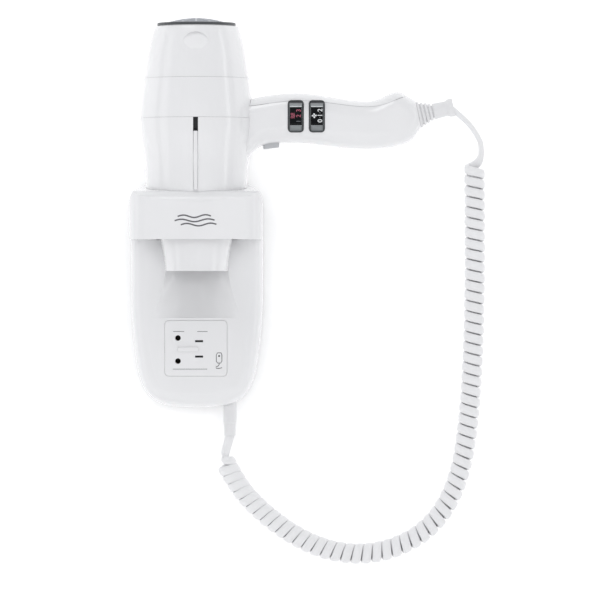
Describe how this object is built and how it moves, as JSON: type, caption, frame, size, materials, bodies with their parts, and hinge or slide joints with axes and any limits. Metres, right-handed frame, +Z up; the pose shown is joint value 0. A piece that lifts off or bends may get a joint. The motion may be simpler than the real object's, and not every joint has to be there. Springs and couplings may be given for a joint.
{
  "type": "wall-mounted hair dryer",
  "caption": "Hotel-type hair dryer hanging nozzle down in a wall holder with shaver socket, joined by a curly cord.",
  "frame": {"origin": "centre of the holder's back face, which lies on the wall, level with its widest part", "axes": "+X to the right seen from the room, +Y into the wall, +Z up"},
  "size_m": [0.2924, 0.11, 0.4492],
  "materials": {
    "white_gloss": "glossy injection-moulded ABS",
    "white_matt": "matt moulded back",
    "white_satin": "satin moulded plate",
    "white_rubber": "satin flexible PVC",
    "cord_white": "satin flexible PVC cable sheath",
    "dark_grey_plastic": "fine texture",
    "mid_grey_plastic": "fine texture with grip ribs",
    "silver_plastic": "satin silver-grey",
    "light_grey_plastic": "satin grille",
    "filter_mesh": "woven filter",
    "black_plastic": "moulded insulation",
    "contact_brass": "stamped brass",
    "steel": "zinc plated",
    "winding_tape": "taped winding",
    "heater_wire": "resistance wire",
    "mica": "mica board",
    "duct_plastic": "glass-filled plastic",
    "fan_plastic": "moulded fan",
    "circuit_board": "fibreglass board"
  },
  "bodies": {
    "holder": {"back_plate": "white_matt", "holder_cover": "white_gloss", "socket_plate": "white_satin", "socket_body": "black_plastic", "round_contacts": "contact_brass", "flat_contacts": "contact_brass", "transformer_core": "steel", "transformer_coil": "winding_tape", "terminal_block": "black_plastic", "cover_screw": "steel", "lower_strain_relief": "white_rubber", "holder_cord_clamp": "black_plastic", "clamp_screws": "steel", "cord_lead_lower": "cord_white", "curly_cord": "cord_white"},
    "dryer": {"front_barrel": "white_gloss", "main_housing": "white_gloss", "handle_spine": "white_gloss", "handle_screws": "steel", "nozzle_grille": "steel", "mica_sleeve": "mica", "heater_frame": "mica", "heater_coils": "heater_wire", "thermostat": "steel", "thermal_fuse": "steel", "fan_duct": "duct_plastic", "motor": "steel", "speed_bezel": "dark_grey_plastic", "heat_bezel": "dark_grey_plastic", "speed_switch": "black_plastic", "heat_switch": "black_plastic", "cold_switch": "black_plastic", "circuit_board": "circuit_board", "dock_switch": "black_plastic", "upper_strain_relief": "white_rubber", "handle_cord_clamp": "black_plastic", "cord_lead_upper": "cord_white"},
    "rear_cap": {"rear_cap": "white_gloss", "rim_ring": "dark_grey_plastic", "intake_grille": "light_grey_plastic", "intake_filter": "filter_mesh"},
    "fan": {"fan": "fan_plastic", "motor_shaft": "steel"},
    "speed_rocker": {"speed_rocker": "mid_grey_plastic"},
    "heat_rocker": {"heat_rocker": "mid_grey_plastic"},
    "cold_button": {"cold_button": "silver_plastic"},
    "dock_rod": {"dock_rod": "white_gloss"},
    "selector": {"selector_slider": "white_satin", "socket_shutter": "black_plastic"}
  },
  "joints": [
    {"name": "lift_out", "type": "slide", "parent": "holder", "child": "dryer", "axis": [0, 0, 1], "range_m": [0, 0.1]},
    {"name": "cap_pull", "type": "slide", "parent": "dryer", "child": "rear_cap", "axis": [0, 0, 1], "range_m": [0, 0.04]},
    {"name": "fan_spin", "type": "hinge", "parent": "dryer", "child": "fan", "pos_m": [0, -0.062, 0.16], "axis": [0, 0, 1], "continuous": true},
    {"name": "speed_rock", "type": "hinge", "parent": "dryer", "child": "speed_rocker", "pos_m": [0.0987, -0.0755, 0.1446], "axis": [-1, 0, 0], "range_deg": [0, 24]},
    {"name": "heat_rock", "type": "hinge", "parent": "dryer", "child": "heat_rocker", "pos_m": [0.08145, -0.0755, 0.1446], "axis": [-1, 0, 0], "range_deg": [0, 24]},
    {"name": "cold_press", "type": "slide", "parent": "dryer", "child": "cold_button", "axis": [0, 0, 1], "range_m": [0, 0.0025], "stiffness_N_per_m": 600, "springref_m": -0.0015},
    {"name": "dock_rod_slide", "type": "slide", "parent": "dryer", "child": "dock_rod", "axis": [0, -0.1118, 0.9937], "range_m": [-0.008, 0]},
    {"name": "selector_slide", "type": "slide", "parent": "holder", "child": "selector", "axis": [1, 0, 0], "range_m": [0, 0.005]}
  ],
  "couplings": [
    {"joint": "dock_rod_slide", "follows": "lift_out", "ratio": -0.08}
  ]
}
